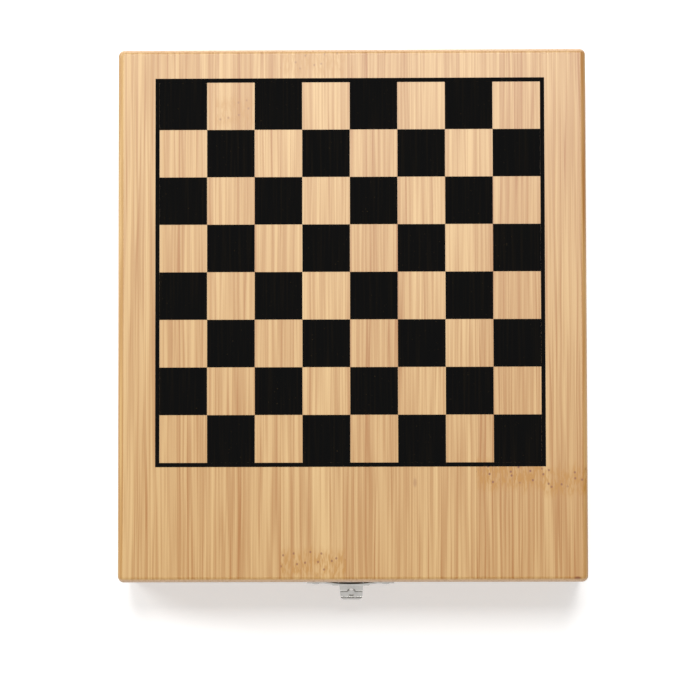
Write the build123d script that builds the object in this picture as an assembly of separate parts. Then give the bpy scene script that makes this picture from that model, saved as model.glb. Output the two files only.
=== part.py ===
from build123d import *
import math
import os

os.makedirs("parts", exist_ok=True)

# A travel chess set: a hinged bamboo case with the board printed on its lid and the 32 men lying in a foam
# tray inside. Millimetres. The origin is the centre of the case's underside, +X is right, +Y is towards the
# hinges at the back and +Z is up. The lid is modelled closed.

# Case
case_width = 147.5
case_depth = 168.0
base_height = 25.0
lid_height = 15.0
wall = 6.0
bottom_thickness = 3.0
top_thickness = 4.0
corner_radius = 1.9
lid_edge_round = 1.7
foot_edge_round = 0.8
rim_ease = 0.4
lid_gap = 0.2

# Printed board
square = 15.0
squares = 8
ink_gap = 0.04
ink_thickness = 0.1
border_line = 1.3
board_back_margin = 9.25
board_side_shift = -0.65

# Back hinges, two of them, surface mounted
hinge_spacing = 80.0
hinge_width = 18.0
leaf_reach = 7.5
leaf_thickness = 0.5
hinge_pin_radius = 0.45
pin_running_gap = 0.04
knuckle_end_gap = 0.2
barrel_stand_off = 0.08
middle_knuckle = 7.0
hinge_screw_spacing = 11.0
hinge_screw_height = 4.6
screw_shank_radius = 0.5
screw_head_radius = 1.1
screw_head_height = 0.35
screw_grip = 4.0

# Clasp on the front
clasp_side_shift = -0.75
lid_plate_width = 27.4
lid_plate_height = 6.5
lid_plate_thickness = 0.5
bulge_width = 17.0
bulge_rise = 0.7
clasp_axis_rise = 2.0
clasp_axis_out = 0.75
clasp_knuckle_radius = 0.65
clasp_pin_radius = 0.3
clasp_notch_gap = 0.2
hasp_width = 7.6
hasp_tip_width = 6.9
hasp_tip_round = 1.3
hasp_thickness = 0.6
hasp_drop = 7.0
lip_bend = 2.2
lip_run = 1.7
lip_curl = 0.8
lip_curl_angle = 60.0
thumb_dent_radius = 1.8
thumb_dent_depth = 0.22
side_knuckle = 1.9
catch_plate_width = 17.0
catch_plate_height = 8.0
catch_plate_thickness = 0.4
catch_rib_width = 7.0
catch_rib_radius = 0.28
catch_drop = 6.0
lid_nail_spacing = 22.2
catch_nail_spacing = 12.6

# Foam
tray_height = 15.0
tray_side_gap = 0.3
pocket_depth = 7.0
pocket_gap = 0.5
pocket_corner = 1.5
lining_thickness = 3.0
lining_side_gap = 0.5
rest_gap = 0.1

# Men, turned to suit the 15 mm squares
foot_height = 1.8
foot_round = 0.5
shoulder_share = 0.8
collar_thickness = 0.9
collar_overhang = 1.1
pawn_base_radius = 4.8
pawn_neck_radius = 1.6
pawn_neck_height = 10.8
pawn_head_radius = 2.8
rook_base_radius = 5.2
rook_neck_radius = 2.6
rook_neck_height = 12.4
rook_tower_radius = 3.7
rook_tower_height = 4.4
rook_wall = 1.2
rook_slot = 1.3
rook_slot_depth = 1.5
knight_base_radius = 5.2
knight_neck_radius = 3.6
knight_neck_height = 5.4
knight_head_height = 14.0
knight_head_thickness = 4.4
bishop_base_radius = 5.2
bishop_neck_radius = 1.8
bishop_neck_height = 14.0
bishop_mitre_radius = 2.9
bishop_mitre_height = 7.0
bishop_slot = 0.7
bishop_ball_radius = 0.9
queen_base_radius = 5.7
queen_neck_radius = 1.9
queen_neck_height = 17.6
queen_crown_radius = 3.6
queen_crown_height = 5.6
queen_ball_radius = 1.1
queen_points = 8
queen_notch_radius = 0.7
king_base_radius = 5.7
king_neck_radius = 2.0
king_neck_height = 19.4
king_crown_radius = 3.8
king_crown_height = 5.8
crown_dome_share = 0.45
cross_height = 3.8
cross_span = 3.2
cross_bar = 1.1

# Sizes that follow from the ones above
inner_width = case_width - 2 * wall
inner_depth = case_depth - 2 * wall
front_y = -case_depth / 2
back_y = case_depth / 2
lid_z = base_height + lid_gap
lid_panel_z = lid_z + lid_height - top_thickness
lid_top_z = lid_z + lid_height
split_z = base_height + lid_gap / 2
knuckle_radius = hinge_pin_radius + leaf_thickness
hinge_axis_y = back_y + barrel_stand_off + knuckle_radius
clasp_axis_y = front_y - clasp_axis_out
clasp_axis_z = lid_z + clasp_axis_rise
tray_width = inner_width - 2 * tray_side_gap
tray_depth = inner_depth - 2 * tray_side_gap
tray_top_z = bottom_thickness + tray_height
pocket_floor_z = tray_top_z - pocket_depth


def plan_outline():
    """The case's outline seen from above."""
    return RectangleRounded(case_width, case_depth, corner_radius)


def rail_outlines():
    """The four rails' mitred outlines seen from above, each cut at 45 degrees in the case's corners."""
    x_out, y_out = case_width / 2, case_depth / 2
    x_in, y_in = inner_width / 2, inner_depth / 2
    front = Polygon((-x_out, -y_out), (x_out, -y_out), (x_in, -y_in), (-x_in, -y_in), align=None)
    right = Polygon((x_out, -y_out), (x_out, y_out), (x_in, y_in), (x_in, -y_in), align=None)
    half_turn = Rot(0, 0, 180)
    return {"front": front, "back": half_turn * front, "left": half_turn * right, "right": right}


def case_ring(bottom_z, height, eased_rim):
    """The case's wall as one ring, with the outer edge of one rim eased: 0 is the lower rim, -1 the upper."""
    block = Pos(0, 0, bottom_z) * extrude(plan_outline(), height)
    rim = block.faces().sort_by(Axis.Z)[eased_rim]
    block = chamfer(rim.edges(), rim_ease)
    return block - Pos(0, 0, bottom_z) * extrude(Rectangle(inner_width, inner_depth), height)


def mitred_rails(bottom_z, height, eased_rim):
    """The ring cut into its four mitred rails."""
    ring = case_ring(bottom_z, height, eased_rim)
    return {side: ring & (Pos(0, 0, bottom_z) * extrude(outline, height))
            for side, outline in rail_outlines().items()}


def bottom_panel():
    """The case's bottom, with its lower edge rounded."""
    panel = extrude(plan_outline(), bottom_thickness)
    return fillet(panel.faces().sort_by(Axis.Z)[0].edges(), foot_edge_round)


def top_panel():
    """The lid's top, which covers the rails and has its upper edge rounded."""
    panel = Pos(0, 0, lid_panel_z) * extrude(plan_outline(), top_thickness)
    return fillet(panel.faces().sort_by(Axis.Z)[-1].edges(), lid_edge_round)


def board_print():
    """The ink on the lid: the dark squares and the line around the board, as one thin film."""
    side = squares * square
    centre_y = back_y - board_back_margin - border_line - side / 2
    film = [Rectangle(side + 2 * border_line, side + 2 * border_line) - Rectangle(side, side)]
    for row in range(squares):
        for column in range(squares):
            if (row + column) % 2 == 0:
                x = (column - (squares - 1) / 2) * square
                y = ((squares - 1) / 2 - row) * square
                film.append(Pos(x, y) * Rectangle(square - ink_gap, square - ink_gap))
    place = Pos(board_side_shift, centre_y, lid_top_z)
    return Compound([place * extrude(piece, ink_thickness) for piece in film])


def bar_along_x(radius, x_from, x_to, y, z):
    """A round bar parallel to X."""
    return Pos((x_from + x_to) / 2, y, z) * Rot(0, 90, 0) * Cylinder(radius, x_to - x_from)


def box_between(x_range, y_range, z_range):
    """A block given by its limits along each axis."""
    ranges = (x_range, y_range, z_range)
    size = [high - low for low, high in ranges]
    middle = [(high + low) / 2 for low, high in ranges]
    return Pos(*middle) * Box(*size)


def fastener(x, y, z, outward, shank):
    """A round-headed screw or nail with its head's seat at (x, y, z), pointing along Y. outward is 1 on the
    back of the case and -1 on its front."""
    head = Cylinder(screw_head_radius, screw_head_height, align=(Align.CENTER, Align.CENTER, Align.MIN))
    head = fillet(head.edges().sort_by(Axis.Z)[-1], screw_head_height * 0.8)
    stem_below = Cylinder(screw_shank_radius, shank, align=(Align.CENTER, Align.CENTER, Align.MAX))
    return Pos(x, y, z) * Rot(-90 * outward, 0, 0) * (head + stem_below)


def hinge_screws(centre_x, side):
    """The two screws of one hinge leaf. side is 1 for the lid's leaf and -1 for the base's."""
    z = split_z + side * hinge_screw_height
    y = back_y + leaf_thickness
    return [fastener(centre_x + step * hinge_screw_spacing / 2, y, z, 1, screw_grip) for step in (-1, 1)]


def hinge_leaf(centre_x, side):
    """A hinge leaf flat on the back of the case. The base's leaf has the two outer knuckles, which grip the
    pin, and the lid's leaf the middle one, which turns on it."""
    half = hinge_width / 2
    inner = middle_knuckle / 2
    near, far = sorted((split_z + side * knuckle_end_gap, split_z + side * leaf_reach))
    leaf = box_between((centre_x - half, centre_x + half), (back_y, back_y + leaf_thickness), (near, far))
    corners = leaf.edges().filter_by(Axis.Y).group_by(Axis.Z)[-1 if side > 0 else 0]
    leaf = fillet(corners, leaf_thickness)
    if side > 0:
        spans = [(-inner, inner)]
        bore = hinge_pin_radius + pin_running_gap
    else:
        spans = [(-half, -inner - knuckle_end_gap), (inner + knuckle_end_gap, half)]
        bore = hinge_pin_radius
    gaps = [(-half, -inner), (inner, half)] if side > 0 else [(-inner, inner)]
    for start, stop in gaps:
        clear = knuckle_end_gap if side < 0 else 0
        clear_box = box_between((centre_x + start - clear, centre_x + stop + clear),
                                (back_y, hinge_axis_y + knuckle_radius),
                                (split_z - knuckle_radius - knuckle_end_gap,
                                 split_z + knuckle_radius + knuckle_end_gap))
        leaf = leaf - clear_box
    for start, stop in spans:
        leaf = leaf + bar_along_x(knuckle_radius, centre_x + start, centre_x + stop, hinge_axis_y, split_z)
    leaf = leaf - bar_along_x(bore, centre_x - half, centre_x + half, hinge_axis_y, split_z)
    for screw in hinge_screws(centre_x, side):
        leaf = leaf - screw
    return leaf


def hinge_pin(centre_x):
    """The pin through a back hinge's knuckles."""
    half = hinge_width / 2
    return bar_along_x(hinge_pin_radius, centre_x - half, centre_x + half, hinge_axis_y, split_z)


def clasp_lid_nails():
    """The two nails that hold the clasp's plate on the lid."""
    z = clasp_axis_z + lid_plate_height / 2 + clasp_knuckle_radius / 2
    y = front_y - lid_plate_thickness
    return [fastener(step * lid_nail_spacing / 2, y, z, -1, screw_grip) for step in (-1, 1)]


def clasp_lid_plate():
    """The clasp's fixed plate: flat ends on the lid and a bowed middle that stands off it, with a knuckle at
    each side of the hasp."""
    half = lid_plate_width / 2
    bow = bulge_width / 2
    thick = lid_plate_thickness
    inner_arc = ThreePointArc((-bow, 0), (0, -bulge_rise), (bow, 0))
    outer_arc = ThreePointArc((bow, -thick), (0, -bulge_rise - thick), (-bow, -thick))
    rim = [Line((-half, -thick), (-half, 0)), Line((-half, 0), (-bow, 0)), inner_arc,
           Line((bow, 0), (half, 0)), Line((half, 0), (half, -thick)), Line((half, -thick), (bow, -thick)),
           outer_arc, Line((-bow, -thick), (-half, -thick))]
    plate = Pos(0, front_y, clasp_axis_z) * extrude(make_face(rim), lid_plate_height)
    notch_half = hasp_width / 2 + clasp_notch_gap
    notch_top = clasp_axis_z + clasp_knuckle_radius + clasp_notch_gap
    notch = box_between((-notch_half, notch_half), (front_y - 2 * clasp_axis_out, front_y),
                        (clasp_axis_z, notch_top))
    plate = plate - notch
    end = notch_half + side_knuckle
    for start, stop in ((-end, -notch_half), (notch_half, end)):
        plate = plate + bar_along_x(clasp_knuckle_radius, start, stop, clasp_axis_y, clasp_axis_z)
    plate = plate - bar_along_x(clasp_pin_radius, -end, end, clasp_axis_y, clasp_axis_z)
    for nail in clasp_lid_nails():
        plate = plate - nail
    return plate


def clasp_pin():
    """The pin that the hasp turns on, gripped by the lid plate's knuckles."""
    end = hasp_width / 2 + clasp_notch_gap + side_knuckle
    return bar_along_x(clasp_pin_radius, -end, end, clasp_axis_y, clasp_axis_z)


def clasp_hasp():
    """The hasp: a knuckle on the pin, a flat that hangs over the catch and a thumb lip that bends outwards,
    is dented for the thumb and curls up at its tip. Its side view is drawn with u outwards and z up, from the
    pin."""
    run_u = pin_running_gap + hasp_thickness / 2
    bend_z = -hasp_drop
    lip_z = bend_z - lip_bend
    tip_u = run_u + lip_bend + lip_run
    path = [Line((run_u, 0), (run_u, bend_z)),
            RadiusArc((run_u, bend_z), (run_u + lip_bend, lip_z), lip_bend, short_sagitta=True),
            Line((run_u + lip_bend, lip_z), (tip_u, lip_z)),
            JernArc((tip_u, lip_z), (1, 0), lip_curl, lip_curl_angle)]
    side_view = trace(path, hasp_thickness)
    outward = Plane(origin=(0, clasp_axis_y, clasp_axis_z), x_dir=(0, -1, 0), z_dir=(-1, 0, 0))
    body = extrude(outward * side_view, hasp_width / 2, both=True)
    box = body.bounding_box()
    tip_y = box.min.Y
    taper_y = clasp_axis_y - run_u - hasp_thickness / 2
    plan = Polygon((-hasp_width / 2, taper_y), (-hasp_tip_width / 2, tip_y), (hasp_tip_width / 2, tip_y),
                   (hasp_width / 2, taper_y), (hasp_width / 2, box.max.Y), (-hasp_width / 2, box.max.Y),
                   align=None)
    plan = fillet(plan.vertices().group_by(Axis.Y)[0], hasp_tip_round)
    body = body & (Pos(0, 0, box.min.Z) * extrude(plan, box.size.Z))
    dent_y = clasp_axis_y - run_u - lip_bend - lip_run / 2
    dent_z = clasp_axis_z + lip_z + hasp_thickness / 2 - thumb_dent_depth + thumb_dent_radius
    body = body - Pos(0, dent_y, dent_z) * Sphere(thumb_dent_radius)
    half = hasp_width / 2
    body = body + bar_along_x(clasp_knuckle_radius, -half, half, clasp_axis_y, clasp_axis_z)
    return body - bar_along_x(clasp_pin_radius + pin_running_gap, -half, half, clasp_axis_y, clasp_axis_z)


def clasp_catch_nails():
    """The two nails that hold the catch plate on the base."""
    z = clasp_axis_z - catch_drop - catch_plate_height / 4
    y = front_y - catch_plate_thickness
    return [fastener(step * catch_nail_spacing / 2, y, z, -1, screw_grip) for step in (-1, 1)]


def clasp_catch_plate():
    """The plate on the base with the round rib that the hasp's flat presses over."""
    top_z = clasp_axis_z - catch_drop + catch_plate_height / 2
    top_z = min(top_z, base_height - rim_ease)
    half = catch_plate_width / 2
    plate = box_between((-half, half), (front_y - catch_plate_thickness, front_y),
                        (top_z - catch_plate_height, top_z))
    plate = fillet(plate.edges().filter_by(Axis.Y), 2 * catch_plate_thickness)
    rib = bar_along_x(catch_rib_radius, -catch_rib_width / 2, catch_rib_width / 2,
                      front_y - catch_plate_thickness, clasp_axis_z - catch_drop)
    rib_limit = box_between((-half, half), (front_y - catch_plate_thickness - catch_rib_radius, front_y),
                            (0, base_height))
    plate = plate + (rib & rib_limit)
    for nail in clasp_catch_nails():
        plate = plate - nail
    return plate


def stem(base_radius, neck_radius, neck_height):
    """The turned foot, hollow body and collar that every man shares, standing on the XY plane."""
    shoulder = base_radius * shoulder_share
    hollow = Bezier((shoulder, foot_height), (neck_radius, foot_height + (neck_height - foot_height) / 4),
                    (neck_radius, neck_height))
    foot = Polyline((0, 0), (base_radius, 0), (base_radius, foot_height), (shoulder, foot_height))
    close = Polyline((neck_radius, neck_height), (0, neck_height), (0, 0))
    half_view = Plane.XZ * make_face([foot, hollow, close])
    body = revolve(half_view, Axis.Z)
    body = fillet(body.edges().filter_by(GeomType.CIRCLE).group_by(SortBy.RADIUS)[-1], foot_round)
    return body + collar(neck_radius + collar_overhang, neck_height)


def collar(radius, z):
    """A rounded ring around a man's neck, with its lower face at z."""
    ring = Cylinder(radius, collar_thickness, align=(Align.CENTER, Align.CENTER, Align.MIN))
    return Pos(0, 0, z) * fillet(ring.edges(), collar_thickness * 0.45)


def pawn():
    """A ball on the stem."""
    z = pawn_neck_height + collar_thickness + pawn_head_radius * 0.85
    return stem(pawn_base_radius, pawn_neck_radius, pawn_neck_height) + Pos(0, 0, z) * Sphere(pawn_head_radius)


def rook():
    """A hollow tower with four battlements."""
    z = rook_neck_height + collar_thickness
    up = (Align.CENTER, Align.CENTER, Align.MIN)
    down = (Align.CENTER, Align.CENTER, Align.MAX)
    tower = Cylinder(rook_tower_radius, rook_tower_height, align=up)
    top = Pos(0, 0, rook_tower_height)
    tower = tower - top * Cylinder(rook_tower_radius - rook_wall, rook_slot_depth, align=down)
    for turn in (45, 135):
        slot = Box(2 * rook_tower_radius + 1, rook_slot, rook_slot_depth, align=down)
        tower = tower - top * Rot(0, 0, turn) * slot
    return stem(rook_base_radius, rook_neck_radius, rook_neck_height) + Pos(0, 0, z) * tower


def knight():
    """A flat-sided horse's head, drawn in side view with its nose towards -X."""
    h = knight_head_height
    r = knight_neck_radius
    crest = Spline((r, 0), (r * 1.05, h * 0.45), (r * 0.35, h * 0.86), (-r * 0.15, h))
    face = Polyline((-r * 0.15, h), (-r * 0.35, h * 0.84), (-r * 1.3, h * 0.55), (-r * 1.2, h * 0.42),
                    (-r * 0.25, h * 0.5))
    throat = Spline((-r * 0.25, h * 0.5), (-r * 0.65, h * 0.25), (-r, 0))
    side_view = Plane.XZ * make_face([crest, face, throat, Line((-r, 0), (r, 0))])
    head = extrude(side_view, knight_head_thickness / 2, both=True)
    z = knight_neck_height + collar_thickness
    neck = Pos(0, 0, z - collar_thickness / 2) * head
    return stem(knight_base_radius, knight_neck_radius, knight_neck_height) + neck


def bishop():
    """A pointed mitre with a slanting cut, and a ball on its tip."""
    z = bishop_neck_height + collar_thickness
    h = bishop_mitre_height
    r = bishop_mitre_radius
    low = Spline((bishop_neck_radius, 0), (r, h * 0.35), (r * 0.6, h * 0.75), (bishop_ball_radius * 0.6, h))
    close = Polyline((bishop_ball_radius * 0.6, h), (0, h), (0, 0), (bishop_neck_radius, 0))
    mitre = revolve(Plane.XZ * make_face([low, close]), Axis.Z)
    cut = Pos(0, r * 0.75, h * 0.7) * Rot(40, 0, 0) * Box(2 * r, 2 * r, bishop_slot)
    mitre = mitre - cut + Pos(0, 0, h + bishop_ball_radius * 0.6) * Sphere(bishop_ball_radius)
    return stem(bishop_base_radius, bishop_neck_radius, bishop_neck_height) + Pos(0, 0, z) * mitre


def crown(neck_radius, rim_radius, height):
    """The flared crown of the queen and king, with a low dome on top."""
    dome = rim_radius * crown_dome_share
    flare = Bezier((neck_radius, 0), (neck_radius, height * 0.5), (rim_radius, height - dome))
    over = Bezier((rim_radius, height - dome), (rim_radius * 0.6, height), (0, height))
    close = Polyline((0, height), (0, 0), (neck_radius, 0))
    return revolve(Plane.XZ * make_face([flare, over, close]), Axis.Z)


def queen():
    """A crown with a notched rim and a ball on top."""
    z = queen_neck_height + collar_thickness
    h = queen_crown_height
    head = crown(queen_neck_radius, queen_crown_radius, h)
    notch_z = h - queen_crown_radius * crown_dome_share
    for place in PolarLocations(queen_crown_radius, queen_points):
        head = head - Pos(0, 0, notch_z) * place * Sphere(queen_notch_radius)
    head = head + Pos(0, 0, h + queen_ball_radius * 0.6) * Sphere(queen_ball_radius)
    return stem(queen_base_radius, queen_neck_radius, queen_neck_height) + Pos(0, 0, z) * head


def king():
    """A crown with a cross on top."""
    z = king_neck_height + collar_thickness
    h = king_crown_height
    up = (Align.CENTER, Align.CENTER, Align.MIN)
    cross = Box(cross_bar, cross_bar, cross_height + 1, align=up)
    cross = cross + Pos(0, 0, 1 + cross_height / 2) * Box(cross_span, cross_bar, cross_bar)
    head = crown(king_neck_radius, king_crown_radius, h) + Pos(0, 0, h - 1) * cross
    return stem(king_base_radius, king_neck_radius, king_neck_height) + Pos(0, 0, z) * head


def resting_tilt(base_radius, head_radius, head_z):
    """How far a man's head drops, in degrees, when it lies on its foot's rim and its head."""
    return math.degrees(math.atan2(base_radius - head_radius, head_z - foot_height))


def lying_men():
    """Each kind of man laid down along +Y with its head lower than its foot, at the origin."""
    standing = {
        "pawn": (pawn(), resting_tilt(pawn_base_radius, pawn_head_radius,
                                      pawn_neck_height + collar_thickness + pawn_head_radius)),
        "rook": (rook(), resting_tilt(rook_base_radius, rook_tower_radius,
                                      rook_neck_height + collar_thickness + rook_tower_height)),
        "knight": (knight(), resting_tilt(knight_base_radius, knight_head_thickness / 2,
                                          knight_neck_height + knight_head_height)),
        "bishop": (bishop(), resting_tilt(bishop_base_radius, bishop_mitre_radius,
                                          bishop_neck_height + bishop_mitre_height * 0.4)),
        "queen": (queen(), resting_tilt(queen_base_radius, queen_crown_radius,
                                        queen_neck_height + queen_crown_height * 0.7)),
        "king": (king(), resting_tilt(king_base_radius, king_crown_radius,
                                      king_neck_height + king_crown_height * 0.7)),
    }
    lying = {}
    for kind, (man, tilt) in standing.items():
        man = Rot(-90 - tilt, 0, 0) * man
        box = man.bounding_box()
        lying[kind] = Pos(-box.center().X, -box.center().Y, -box.min.Z) * man
    return lying


officer_order = ["rook", "knight", "bishop", "queen", "king", "bishop", "knight", "rook"]


def men_layout(lying):
    """Name, kind, side and place of every man in the tray. White lies in the front half with its heads
    towards the back, and black in the back half facing it; pawns lie in the two middle rows."""
    officer_length = max(lying[kind].bounding_box().size.Y for kind in officer_order) + 2 * pocket_gap
    pawn_length = lying["pawn"].bounding_box().size.Y + 2 * pocket_gap
    rib = (tray_depth - 2 * officer_length - 2 * pawn_length) / 5
    pawn_y = rib / 2 + pawn_length / 2
    officer_y = rib * 1.5 + pawn_length + officer_length / 2
    column_pitch = tray_width / squares
    layout = []
    for colour, side in (("white", -1), ("black", 1)):
        seen = {}
        for column in range(squares):
            x = (column - (squares - 1) / 2) * column_pitch
            kind = officer_order[column]
            seen[kind] = seen.get(kind, 0) + 1
            number = f"_{seen[kind]}" if officer_order.count(kind) > 1 else ""
            layout.append((f"{colour}_{kind}{number}", kind, side, x, side * officer_y))
            layout.append((f"{colour}_pawn_{column + 1}", "pawn", side, x, side * pawn_y))
    return layout


def foam_tray(lying, layout):
    """The foam block that fills the base, with a pocket cut for each man."""
    tray = Pos(0, 0, bottom_thickness) * Box(tray_width, tray_depth, tray_height,
                                             align=(Align.CENTER, Align.CENTER, Align.MIN))
    cuts = []
    for name, kind, side, x, y in layout:
        size = lying[kind].bounding_box().size
        hole = RectangleRounded(size.X + 2 * pocket_gap, size.Y + 2 * pocket_gap, pocket_corner)
        cuts.append(Pos(x, y, pocket_floor_z) * extrude(hole, pocket_depth))
    return tray - cuts


def lid_lining():
    """The foam sheet glued under the lid's top, which keeps the men in their pockets."""
    return Pos(0, 0, lid_panel_z) * Box(inner_width - 2 * lining_side_gap, inner_depth - 2 * lining_side_gap,
                                        lining_thickness, align=(Align.CENTER, Align.CENTER, Align.MAX))


base_rails = mitred_rails(bottom_thickness, base_height - bottom_thickness, -1)
lid_rails = mitred_rails(lid_z, lid_height - top_thickness, 0)
hinge_centres = {"left": -hinge_spacing / 2, "right": hinge_spacing / 2}
base_hinge_screws = [screw for x in hinge_centres.values() for screw in hinge_screws(x, -1)]
lid_hinge_screws = [screw for x in hinge_centres.values() for screw in hinge_screws(x, 1)]
for screw in base_hinge_screws:
    base_rails["back"] = base_rails["back"] - screw
for screw in lid_hinge_screws:
    lid_rails["back"] = lid_rails["back"] - screw
clasp_place = Pos(clasp_side_shift, 0, 0)
catch_nails = [clasp_place * nail for nail in clasp_catch_nails()]
lid_nails = [clasp_place * nail for nail in clasp_lid_nails()]
for nail in catch_nails:
    base_rails["front"] = base_rails["front"] - nail
for nail in lid_nails:
    lid_rails["front"] = lid_rails["front"] - nail

nodes = {}
for side, rail in base_rails.items():
    nodes[f"base_{side}_wall"] = rail
nodes["base_bottom_panel"] = bottom_panel()
for side, rail in lid_rails.items():
    nodes[f"lid_{side}_rail"] = rail
nodes["lid_top_panel"] = top_panel()
nodes["board_print"] = board_print()
for side, x in hinge_centres.items():
    nodes[f"{side}_hinge_base_leaf"] = hinge_leaf(x, -1)
    nodes[f"{side}_hinge_lid_leaf"] = hinge_leaf(x, 1)
    nodes[f"{side}_hinge_pin"] = hinge_pin(x)
nodes["hinge_screws_base"] = Compound(base_hinge_screws)
nodes["hinge_screws_lid"] = Compound(lid_hinge_screws)
nodes["clasp_lid_plate"] = clasp_place * clasp_lid_plate()
nodes["clasp_pin"] = clasp_place * clasp_pin()
nodes["clasp_hasp"] = clasp_place * clasp_hasp()
nodes["clasp_catch_plate"] = clasp_place * clasp_catch_plate()
nodes["clasp_lid_nails"] = Compound(lid_nails)
nodes["clasp_catch_nails"] = Compound(catch_nails)
nodes["lid_lining"] = lid_lining()

lying = lying_men()
layout = men_layout(lying)
nodes["foam_tray"] = foam_tray(lying, layout)
for name, kind, side, x, y in layout:
    facing = 0 if side < 0 else 180
    nodes[name] = Pos(x, y, pocket_floor_z + rest_gap) * Rot(0, 0, facing) * lying[kind]

for name, shape in nodes.items():
    export_step(shape, f"parts/{name}.step")
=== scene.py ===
import math

import bpy
from mathutils import Euler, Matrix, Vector


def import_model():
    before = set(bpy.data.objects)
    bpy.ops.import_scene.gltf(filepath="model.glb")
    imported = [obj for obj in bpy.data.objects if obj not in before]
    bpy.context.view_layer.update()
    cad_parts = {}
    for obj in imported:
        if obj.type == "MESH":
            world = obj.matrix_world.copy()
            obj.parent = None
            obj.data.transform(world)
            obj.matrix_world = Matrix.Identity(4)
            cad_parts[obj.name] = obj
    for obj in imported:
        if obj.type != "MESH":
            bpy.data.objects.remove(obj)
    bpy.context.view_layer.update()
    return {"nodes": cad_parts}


# A travel chess set in its closed bamboo case, seen from almost straight above. Metres throughout, with the
# origin at the centre of the case's underside, +X right, +Y towards the hinges and +Z up.
#
# A name's last word says what it is. A scale is how often a pattern repeats in a metre, and a pair gives it
# across and along the fibres. A range is where a smooth step starts and ends. A relief is a bump's depth and
# strength. A share, a darkness or a wear is how much of the second of two colours is mixed in. A contrast
# multiplies a colour to give its second one.

# Camera, with its tilt in degrees about X, Y and Z
camera_distance = 1.0
camera_aim = (-0.0007, -0.0112, 0.0403)
camera_tilt = (3.02, 0.87, -0.114)
camera_clip_start = 0.01
sensor_width_mm = 36.0
focal_length_mm = 163.7

# Light; the world's level is how bright the studio is to the object
world_level = 0.34
lamp_aim = (0.0, 0.0, 0.02)
key_size = 0.50
key_power = 11.5
key_place = (0.03, 0.42, 1.20)
fill_size = 0.6
fill_power = 6.0
fill_place = (-1.0, 0.60, 0.55)

# Floor, just below the case; its lift is the light that it gives off where it is seen
floor_size = 12.0
floor_drop = 0.0001
floor_colour = (0.93, 0.93, 0.93)
floor_roughness = 0.9
floor_lift = 0.42

# Bamboo boards: lacquered strips glued side by side; the seed picks the tone of each
strip_width = 0.02046
strip_edge = -0.0021
strip_seed = 4182.0
glue_line = 0.00016
glue_darkness = 0.45
lacquer_roughness = 0.40
lacquer_gloss = 0.7
bamboo_light = (0.635, 0.408, 0.160)
bamboo_dark = (0.335, 0.124, 0.002)
bamboo_relief = (0.00002, 0.5)

# The fibres' streaks, which sway a little and are shifted from strip to strip
noise_roughness = 0.55
sway_scale = (90.0, 30.0)
sway_width = 0.0006
strip_shift = 7.0
broad_streak_scale = (560.0, 8.0)
broad_streak_range = (0.30, 0.70)
broad_streak_share = 0.26
fine_streak_scale = (1450.0, 20.0)
fine_streak_range = (0.34, 0.66)
fine_streak_share = 0.42
dark_line_scale = (430.0, 5.0)
dark_line_width = 0.045
dark_line_share = 0.24
strip_tone_share = 0.22

# End grain
end_grain = (0.740, 0.500, 0.310)
end_grain_range = (0.25, 0.75)
pore_scale = 1700.0
pore_range = (0.45, 0.70)
pore_darkness = 0.35

# Joints of the cane on the lid, each given by its strip, counted from the middle one, its place along the
# strip and its strength. The ragged edge, the band and the row of specks are measured in joint heights.
cane_joints = [
    (-1, -0.0784, 0.8),
    (-1, 0.0796, 0.5),
    (-2, 0.0641, 0.5),
    (2, -0.0506, 1.0),
    (3, -0.0525, 0.9),
]
cane_joint_height = 0.0085
cane_amber = (0.400, 0.170, 0.002)
cane_speck = (0.190, 0.050, 0.001)
ragged_scale = (420.0, 0.0)
raggedness = 0.9
band_range = (0.20, 0.75)
band_darkness = 0.22
dash_scale = (1500.0, 320.0)
dash_range = (0.42, 0.58)
dash_darkness = 0.70
speck_row_offset = 0.1
speck_row_range = (0.25, 0.50)
speck_scale = (300.0, 260.0)
speck_range = (0.05, 0.14)

# Small marks on the lid, each given by its place, half width, half length and strength
small_marks = [
    (0.0196, -0.0529, 0.0007, 0.0018, 0.35),
    (0.0704, -0.0828, 0.0013, 0.0007, 0.9),
]
small_mark_range = (0.4, 1.1)

# Ink
ink_colour = (0.0022, 0.0022, 0.0022)
ink_roughness = 0.75
ink_gloss = 0.035
ink_scale = (1500.0, 30.0)
ink_range = (0.45, 0.75)
ink_wear = 0.006
ink_relief = (0.00001, 0.4)
pinhole_scale = 2600.0
pinhole_range = (0.775, 0.80)
pinhole_wear = 0.12

# Nickel; the wear's roughness comes on top of the plain one
nickel_colour = (0.50, 0.485, 0.46)
nickel_contrast = 0.86
nickel_roughness = 0.12
nickel_wear_roughness = 0.10
nickel_wear_scale = 380.0
nickel_wear_range = (0.35, 0.75)
nickel_wave_scale = 260.0
nickel_relief = (0.00002, 0.25)

# Foam
foam_colour = (0.020, 0.020, 0.022)
foam_contrast = 3.0
foam_roughness = 0.95
foam_cell_scale = 1800.0
foam_cell_share = 0.7
foam_cloud_scale = 60.0
foam_cloud_share = 0.3
foam_relief = (0.00015, 0.8)
foam_sheen = 0.25
foam_sheen_roughness = 0.6

# The men's wood
light_wood = (0.700, 0.480, 0.240)
light_wood_roughness = 0.38
dark_wood = (0.022, 0.015, 0.012)
dark_wood_roughness = 0.30
wood_contrast = 0.62
wood_scale = (900.0, 60.0)
wood_range = (0.35, 0.70)
wood_relief = (0.00002, 0.4)
varnish = 0.35
varnish_roughness = 0.22


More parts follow.
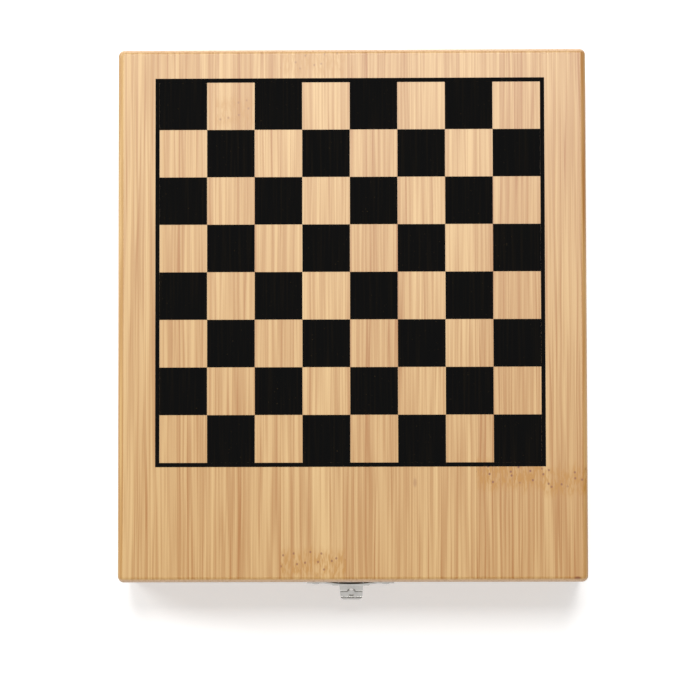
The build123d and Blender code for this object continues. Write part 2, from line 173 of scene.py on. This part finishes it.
class Shader:
    """A node material with one Principled shader, and short calls to add and join its nodes."""

    def __init__(self, name, roughness, metallic=0.0):
        self.material = bpy.data.materials.new(name)
        self.material.use_nodes = True
        self.tree = self.material.node_tree
        self.surface = self.tree.nodes["Principled BSDF"]
        self.put("Roughness", roughness)
        self.put("Metallic", metallic)
        coordinates = self.add("ShaderNodeTexCoord")
        self.place = coordinates.outputs["Object"]
        self.normal = coordinates.outputs["Normal"]

    def add(self, kind, **settings):
        """A new node with the given settings."""
        node = self.tree.nodes.new(kind)
        for key, value in settings.items():
            setattr(node, key, value)
        return node

    def feed(self, socket, value):
        """Links a socket to another one, or sets it to a plain value."""
        if isinstance(value, bpy.types.NodeSocket):
            self.tree.links.new(value, socket)
        else:
            socket.default_value = value

    def put(self, name, value):
        """Feeds one of the Principled shader's own sockets."""
        self.feed(self.surface.inputs[name], value)

    def math(self, operation, *values, clamp=False):
        """What an operation makes of the values."""
        node = self.add("ShaderNodeMath", operation=operation, use_clamp=clamp)
        for socket, value in zip(node.inputs, values):
            self.feed(socket, value)
        return node.outputs[0]

    def plus(self, first, second, clamp=False):
        return self.math("ADD", first, second, clamp=clamp)

    def minus(self, first, second):
        return self.math("SUBTRACT", first, second)

    def times(self, first, second):
        return self.math("MULTIPLY", first, second)

    def absolute(self, value):
        return self.math("ABSOLUTE", value)

    def steps_from(self, start, value, step):
        """How many steps the value lies beyond the start."""
        return self.math("DIVIDE", self.minus(value, start), step)

    def rise(self, value, low, high):
        """0 below low, 1 above high and smooth between them."""
        node = self.add("ShaderNodeMapRange", interpolation_type="SMOOTHSTEP")
        self.feed(node.inputs["Value"], value)
        node.inputs["From Min"].default_value = low
        node.inputs["From Max"].default_value = high
        return node.outputs["Result"]

    def fade(self, value, low, high):
        """1 below low, 0 above high and smooth between them."""
        return self.minus(1.0, self.rise(value, low, high))

    def split(self, vector):
        """The three sockets of a vector, by the names of their axes."""
        node = self.add("ShaderNodeSeparateXYZ")
        self.feed(node.inputs[0], vector)
        return dict(zip("XYZ", node.outputs))

    def join(self, x, y, z):
        """A vector of three values."""
        node = self.add("ShaderNodeCombineXYZ")
        for socket, value in zip(node.inputs, (x, y, z)):
            self.feed(socket, value)
        return node.outputs[0]

    def stretch(self, across, run, scale, depth=0.0):
        """A place scaled by itself across and along the fibres."""
        return self.join(self.times(across, scale[0]), self.times(run, scale[1]), depth)

    def length(self, x, y):
        """The length of a flat vector."""
        node = self.add("ShaderNodeVectorMath", operation="LENGTH")
        self.feed(node.inputs[0], self.join(x, y, 0.0))
        return node.outputs["Value"]

    def dots(self, vector):
        """The distance from the nearest of many scattered points, about one in each unit."""
        node = self.add("ShaderNodeTexVoronoi", voronoi_dimensions="2D")
        self.feed(node.inputs["Vector"], vector)
        node.inputs["Scale"].default_value = 1.0
        return node.outputs["Distance"]

    def noise(self, vector, scale=1.0, detail=3.0):
        """Cloudy noise from 0 to 1."""
        node = self.add("ShaderNodeTexNoise")
        self.feed(node.inputs["Vector"], vector)
        node.inputs["Scale"].default_value = scale
        node.inputs["Detail"].default_value = detail
        node.inputs["Roughness"].default_value = noise_roughness
        return node.outputs["Fac"]

    def random(self, value):
        """A number from 0 to 1 that belongs to the value."""
        node = self.add("ShaderNodeTexWhiteNoise", noise_dimensions="1D")
        self.feed(node.inputs["W"], value)
        return node.outputs["Value"]

    def mix(self, share, first, second):
        """The first colour with a share of the second one. The node takes colours at its inputs 6 and 7 and
        gives one at its output 2."""
        node = self.add("ShaderNodeMix", data_type="RGBA")
        self.feed(node.inputs["Factor"], share)
        for socket, colour in ((node.inputs[6], first), (node.inputs[7], second)):
            self.feed(socket, (*colour, 1.0) if isinstance(colour, tuple) else colour)
        return node.outputs[2]

    def two_tone(self, share, colour, contrast):
        """A colour with a share of its second one."""
        return self.mix(share, colour, tuple(contrast * level for level in colour))

    def bump(self, height, distance, strength):
        """Raises the surface a little where the height is large."""
        node = self.add("ShaderNodeBump")
        node.inputs["Strength"].default_value = strength
        node.inputs["Distance"].default_value = distance
        self.feed(node.inputs["Height"], height)
        self.put("Normal", node.outputs["Normal"])


def bamboo(name, across="X", run="Y", marked=False):
    """Flat-pressed bamboo: strips of slightly different tone, thin fibre streaks, and end grain where the
    fibres come out. A marked board also has its joints of the cane and its small marks."""
    shader = Shader(name, lacquer_roughness)
    shader.put("Specular IOR Level", lacquer_gloss)
    place = shader.split(shader.place)
    depth = next(axis for axis in "XYZ" if axis not in (across, run))
    position = shader.steps_from(strip_edge, place[across], strip_width)
    strip = shader.math("FLOOR", position)
    tone = shader.random(shader.plus(strip, strip_seed))
    streaks, share = fibres(shader, place[across], place[run], place[depth], tone)
    colour = shader.mix(share, bamboo_light, bamboo_dark)
    off_centre = shader.absolute(shader.minus(shader.minus(position, strip), 0.5))
    seam = shader.fade(shader.minus(0.5, off_centre), 0.0, glue_line / strip_width)
    colour = shader.mix(shader.times(seam, glue_darkness), colour, bamboo_dark)
    if marked:
        colour = joints_of_cane(shader, colour, strip, place[across], place[run])
        colour = marks(shader, colour, place[across], place[run])
    cut = shader.rise(shader.absolute(shader.split(shader.normal)[run]), *end_grain_range)
    pores = shader.rise(shader.noise(shader.place, pore_scale, detail=2.0), *pore_range)
    ends = shader.mix(shader.times(pores, pore_darkness), end_grain, bamboo_dark)
    shader.put("Base Color", shader.mix(cut, colour, ends))
    shader.bump(streaks, *bamboo_relief)
    return shader.material


def fibres(shader, across, run, depth, tone):
    """The fine streaks along the fibres, and the share of dark that all streaks and the strip's tone give."""
    sway = shader.noise(shader.stretch(across, run, sway_scale), detail=1.0)
    swayed = shader.plus(across, shader.times(sway, sway_width))
    start = shader.times(tone, strip_shift)

    def streak(scale, detail):
        along = shader.plus(shader.times(run, scale[1]), start)
        vector = shader.join(shader.times(swayed, scale[0]), along, shader.times(depth, scale[0]))
        return shader.noise(vector, detail=detail)

    broad = shader.rise(streak(broad_streak_scale, detail=2.0), *broad_streak_range)
    fine = shader.rise(streak(fine_streak_scale, detail=1.0), *fine_streak_range)
    line_distance = shader.absolute(shader.minus(streak(dark_line_scale, detail=1.0), 0.5))
    line = shader.fade(line_distance, 0.0, dark_line_width)
    share = shader.times(broad, broad_streak_share)
    share = shader.plus(share, shader.times(fine, fine_streak_share))
    share = shader.plus(share, shader.times(line, dark_line_share))
    share = shader.plus(share, shader.times(tone, strip_tone_share), clamp=True)
    return fine, share


def joints_of_cane(shader, colour, strip, x, y):
    """Paints each joint of the cane, a ragged band of amber dashes with a row of dark specks."""
    band = 0.0
    row = 0.0
    ragged = shader.noise(shader.stretch(x, y, ragged_scale), detail=2.0)
    ragged = shader.times(shader.minus(ragged, 0.5), raggedness)
    for index, centre, strength in cane_joints:
        here = shader.times(shader.math("COMPARE", strip, float(index), 0.5), strength)
        off = shader.plus(shader.steps_from(centre, y, cane_joint_height), ragged)
        off_row = shader.absolute(shader.minus(off, speck_row_offset))
        in_band = shader.fade(shader.absolute(off), *band_range)
        in_row = shader.fade(off_row, *speck_row_range)
        band = shader.math("MAXIMUM", band, shader.times(in_band, here))
        row = shader.math("MAXIMUM", row, shader.times(in_row, here))
    dash = shader.rise(shader.noise(shader.stretch(x, y, dash_scale), detail=2.0), *dash_range)
    amber = shader.plus(shader.times(dash, dash_darkness), band_darkness)
    colour = shader.mix(shader.times(band, amber), colour, cane_amber)
    speck = shader.fade(shader.dots(shader.stretch(x, y, speck_scale)), *speck_range)
    return shader.mix(shader.times(row, speck), colour, cane_speck)


def marks(shader, colour, x, y):
    """Paints the small oval marks."""
    for mark_x, mark_y, half_width, half_length, strength in small_marks:
        x_steps = shader.steps_from(mark_x, x, half_width)
        y_steps = shader.steps_from(mark_y, y, half_length)
        mark = shader.fade(shader.length(x_steps, y_steps), *small_mark_range)
        colour = shader.mix(shader.times(mark, strength), colour, cane_speck)
    return colour


def ink():
    """Matte black ink on bamboo, with a faint grain and a few pinholes."""
    shader = Shader("board_ink", ink_roughness)
    shader.put("Specular IOR Level", ink_gloss)
    place = shader.split(shader.place)
    stretched = shader.stretch(place["X"], place["Y"], ink_scale, place["Z"])
    grain = shader.rise(shader.noise(stretched), *ink_range)
    holes = shader.rise(shader.noise(shader.place, pinhole_scale, detail=1.0), *pinhole_range)
    colour = shader.mix(shader.times(grain, ink_wear), ink_colour, bamboo_light)
    shader.put("Base Color", shader.mix(shader.times(holes, pinhole_wear), colour, bamboo_light))
    shader.bump(grain, *ink_relief)
    return shader.material


def nickel():
    """Polished nickel plate with faint waves and wear."""
    shader = Shader("nickel", nickel_roughness, metallic=1.0)
    wear = shader.rise(shader.noise(shader.place, nickel_wear_scale, detail=4.0), *nickel_wear_range)
    shader.put("Base Color", shader.two_tone(wear, nickel_colour, nickel_contrast))
    shader.put("Roughness", shader.plus(shader.times(wear, nickel_wear_roughness), nickel_roughness))
    shader.bump(shader.noise(shader.place, nickel_wave_scale, detail=2.0), *nickel_relief)
    return shader.material


def foam():
    """Fine-celled black foam."""
    shader = Shader("foam", foam_roughness)
    cells = shader.noise(shader.place, foam_cell_scale)
    cloud = shader.noise(shader.place, foam_cloud_scale, detail=2.0)
    share = shader.plus(shader.times(cells, foam_cell_share), shader.times(cloud, foam_cloud_share))
    shader.put("Base Color", shader.two_tone(share, foam_colour, foam_contrast))
    shader.bump(cells, *foam_relief)
    shader.put("Sheen Weight", foam_sheen)
    shader.put("Sheen Roughness", foam_sheen_roughness)
    return shader.material


def turned_wood(name, colour, roughness):
    """A man's varnished wood: the grain runs along the man, which lies along Y."""
    shader = Shader(name, roughness)
    place = shader.split(shader.place)
    stretched = shader.stretch(place["X"], place["Y"], wood_scale, shader.times(place["Z"], wood_scale[0]))
    grain = shader.rise(shader.noise(stretched, detail=4.0), *wood_range)
    shader.put("Base Color", shader.two_tone(grain, colour, wood_contrast))
    shader.bump(grain, *wood_relief)
    shader.put("Coat Weight", varnish)
    shader.put("Coat Roughness", varnish_roughness)
    return shader.material


def dress(frame):
    """Gives every CAD node the material of the first word below that its name holds."""
    lid_board = bamboo("bamboo_top", marked=True)
    base_board = bamboo("bamboo_bottom")
    board_along_x = bamboo("bamboo_along_x", across="Z", run="X")
    board_along_y = bamboo("bamboo_along_y", across="Z", run="Y")
    metal = nickel()
    padding = foam()
    choices = {
        "board_print": ink(),
        "hinge": metal,
        "clasp": metal,
        "foam_tray": padding,
        "lid_lining": padding,
        "white": turned_wood("light_wood", light_wood, light_wood_roughness),
        "black": turned_wood("dark_wood", dark_wood, dark_wood_roughness),
        "lid_top_panel": lid_board,
        "base_bottom_panel": base_board,
        "front": board_along_x,
        "back": board_along_x,
        "left": board_along_y,
        "right": board_along_y,
    }
    for name, node in frame["nodes"].items():
        material = next(choice for word, choice in choices.items() if word in name)
        for slot in node.material_slots:
            slot.material = material


def seen_directly(tree):
    """1 for rays from the camera and for those reflected or refracted to it, else 0."""
    path = tree.nodes.new("ShaderNodeLightPath")
    total = path.outputs["Is Camera Ray"]
    for kind in ("Is Glossy Ray", "Is Transmission Ray"):
        either = tree.nodes.new("ShaderNodeMath")
        either.operation = "MAXIMUM"
        tree.links.new(total, either.inputs[0])
        tree.links.new(path.outputs[kind], either.inputs[1])
        total = either.outputs[0]
    return total


def world():
    """An even studio: white where it is seen, and a plain level of light on the object."""
    studio = bpy.data.worlds.new("studio")
    studio.use_nodes = True
    tree = studio.node_tree
    background = tree.nodes["Background"]
    background.inputs["Color"].default_value = (1.0, 1.0, 1.0, 1.0)
    level = tree.nodes.new("ShaderNodeMapRange")
    tree.links.new(seen_directly(tree), level.inputs["Value"])
    level.inputs["To Min"].default_value = world_level
    level.inputs["To Max"].default_value = 1.0
    tree.links.new(level.outputs["Result"], background.inputs["Strength"])
    bpy.context.scene.world = studio


def floor():
    """A large pale floor under the case that keeps its shadow."""
    bpy.ops.mesh.primitive_plane_add(size=floor_size, location=(0.0, 0.0, -floor_drop))
    plane = bpy.context.object
    plane.name = "floor"
    material = bpy.data.materials.new("floor")
    material.use_nodes = True
    tree = material.node_tree
    surface = tree.nodes["Principled BSDF"]
    surface.inputs["Base Color"].default_value = (*floor_colour, 1.0)
    surface.inputs["Roughness"].default_value = floor_roughness
    surface.inputs["Specular IOR Level"].default_value = 0.0
    surface.inputs["Emission Color"].default_value = (1.0, 1.0, 1.0, 1.0)
    lift = tree.nodes.new("ShaderNodeMath")
    lift.operation = "MULTIPLY"
    tree.links.new(seen_directly(tree), lift.inputs[0])
    lift.inputs[1].default_value = floor_lift
    tree.links.new(lift.outputs[0], surface.inputs["Emission Strength"])
    plane.data.materials.append(material)


def area_light(name, place, size, power):
    """A soft square lamp that faces the object."""
    lamp = bpy.data.lights.new(name, "AREA")
    lamp.size = size
    lamp.energy = power
    holder = bpy.data.objects.new(name, lamp)
    bpy.context.scene.collection.objects.link(holder)
    holder.location = place
    holder.rotation_euler = (Vector(lamp_aim) - Vector(place)).to_track_quat("-Z", "Y").to_euler()


def camera():
    """The photograph's camera: a long lens almost straight above the lid."""
    lens = bpy.data.cameras.new("camera")
    lens.sensor_width = sensor_width_mm
    lens.lens = focal_length_mm
    lens.clip_start = camera_clip_start
    holder = bpy.data.objects.new("camera", lens)
    bpy.context.scene.collection.objects.link(holder)
    turn = Euler([math.radians(angle) for angle in camera_tilt], "XYZ")
    holder.rotation_euler = turn
    holder.location = Vector(camera_aim) + turn.to_matrix() @ Vector((0.0, 0.0, camera_distance))
    bpy.context.scene.camera = holder


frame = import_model()
dress(frame)
world()
floor()
area_light("key", key_place, key_size, key_power)
area_light("fill", fill_place, fill_size, fill_power)
camera()
bpy.context.scene.view_settings.view_transform = "Standard"
